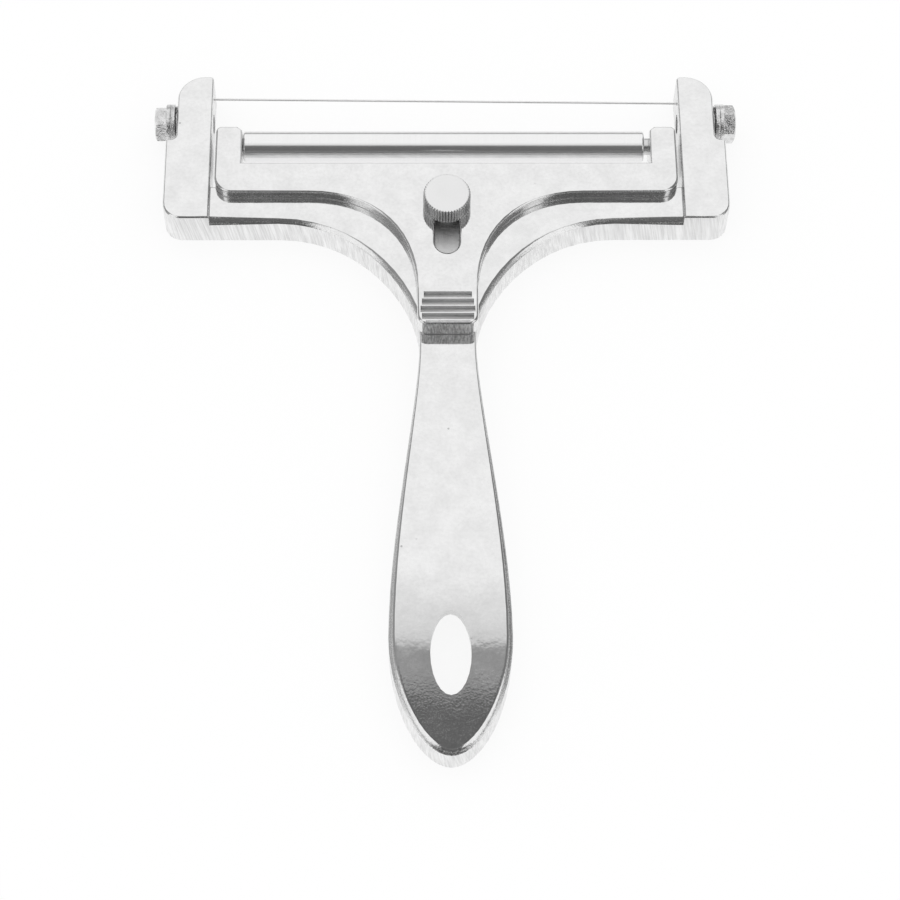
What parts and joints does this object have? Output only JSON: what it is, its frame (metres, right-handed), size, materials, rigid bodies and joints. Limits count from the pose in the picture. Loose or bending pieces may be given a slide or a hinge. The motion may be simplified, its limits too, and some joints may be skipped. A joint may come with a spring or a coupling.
{
  "type": "cheese slicer",
  "caption": "Wire cheese slicer with a cast handle and yoke, a sliding roller carriage that sets the slice, and a knurled clamping screw.",
  "frame": {"origin": "middle of the length and the width, on the open back face", "axes": "+Y from the handle's end to the tips of the arms, +X across the width, +Z out of the face with the clamping screw"},
  "size_m": [0.12, 0.15, 0.0133],
  "materials": {
    "cast_frame": "bright plated casting with fine pits and sanded side walls",
    "cast_carriage": "bright plated casting with faint clouding",
    "roller_metal": "polished, with fine turning marks",
    "axle_metal": "drawn wire finish",
    "knob_metal": "turned face and knurled rim",
    "wire_metal": "drawn spring wire",
    "screw_metal": "plated, slightly dulled",
    "washer_metal": "plated, stamped edges"
  },
  "bodies": {
    "frame": {"frame": "cast_frame", "cutting_wire": "wire_metal", "left_outer_washer": "washer_metal", "left_inner_washer": "washer_metal", "right_outer_washer": "washer_metal", "right_inner_washer": "washer_metal"},
    "carriage": {"roller_carriage": "cast_carriage", "roller_axle": "axle_metal"},
    "roller": {"roller": "roller_metal"},
    "thumbscrew": {"thumbscrew": "knob_metal"},
    "left_screw": {"left_wire_screw": "screw_metal"},
    "right_screw": {"right_wire_screw": "screw_metal"}
  },
  "joints": [
    {"name": "carriage_slide", "type": "slide", "parent": "frame", "child": "carriage", "axis": [0, 1, 0], "range_m": [-0.002, 0.006]},
    {"name": "roller_spin", "type": "hinge", "parent": "carriage", "child": "roller", "pos_m": [0, 0.0596, 0.0052], "axis": [1, 0, 0], "continuous": true},
    {"name": "thumbscrew_turn", "type": "hinge", "parent": "frame", "child": "thumbscrew", "pos_m": [0, 0.0427, 0.0093], "axis": [0, 0, 1], "range_deg": [0, 360]},
    {"name": "left_screw_turn", "type": "hinge", "parent": "frame", "child": "left_screw", "pos_m": [-0.05764, 0.0659, 0.0042], "axis": [-1, 0, 0], "range_deg": [0, 360]},
    {"name": "right_screw_turn", "type": "hinge", "parent": "frame", "child": "right_screw", "pos_m": [0.05764, 0.0659, 0.0042], "axis": [1, 0, 0], "range_deg": [0, 360]}
  ]
}
